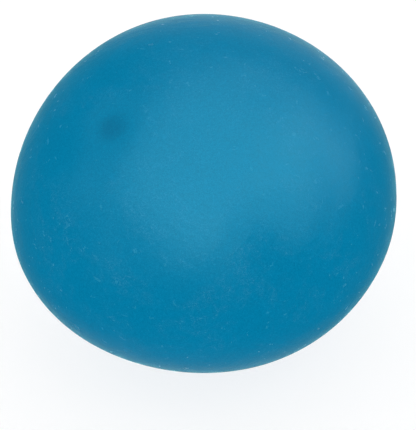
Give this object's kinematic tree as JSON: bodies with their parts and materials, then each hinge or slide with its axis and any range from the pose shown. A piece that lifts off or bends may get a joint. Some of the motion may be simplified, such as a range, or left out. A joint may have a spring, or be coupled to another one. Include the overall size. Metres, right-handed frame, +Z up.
{
  "type": "stress ball",
  "caption": "Soft squeeze ball: a matte rubber skin filled with dough, its fill port closed by a glued plug under a shallow dimple.",
  "frame": {"origin": "centre of the flat foot that the ball rests on, on the floor plane", "axes": "+Z up through the crown, -Y towards the viewer, the fill port up and to the front left at -X -Y"},
  "size_m": [0.068, 0.068, 0.059],
  "materials": {
    "skin_rubber": "matte soft-touch blue rubber with a dusty bloom",
    "dough": "soft off-white dough",
    "plug_rubber": "matte blue rubber, a little darker than the skin",
    "adhesive": "cured clear flexible adhesive"
  },
  "bodies": {
    "ball": {"skin": "skin_rubber", "filling": "dough"},
    "crown": {"fill_plug": "plug_rubber", "plug_adhesive": "adhesive"}
  },
  "joints": [
    {"name": "squeeze", "type": "slide", "parent": "ball", "child": "crown", "axis": [0, 0, -1], "range_m": [0, 0.017], "stiffness_N_per_m": 1500, "deforming": ["skin", "filling"]}
  ]
}
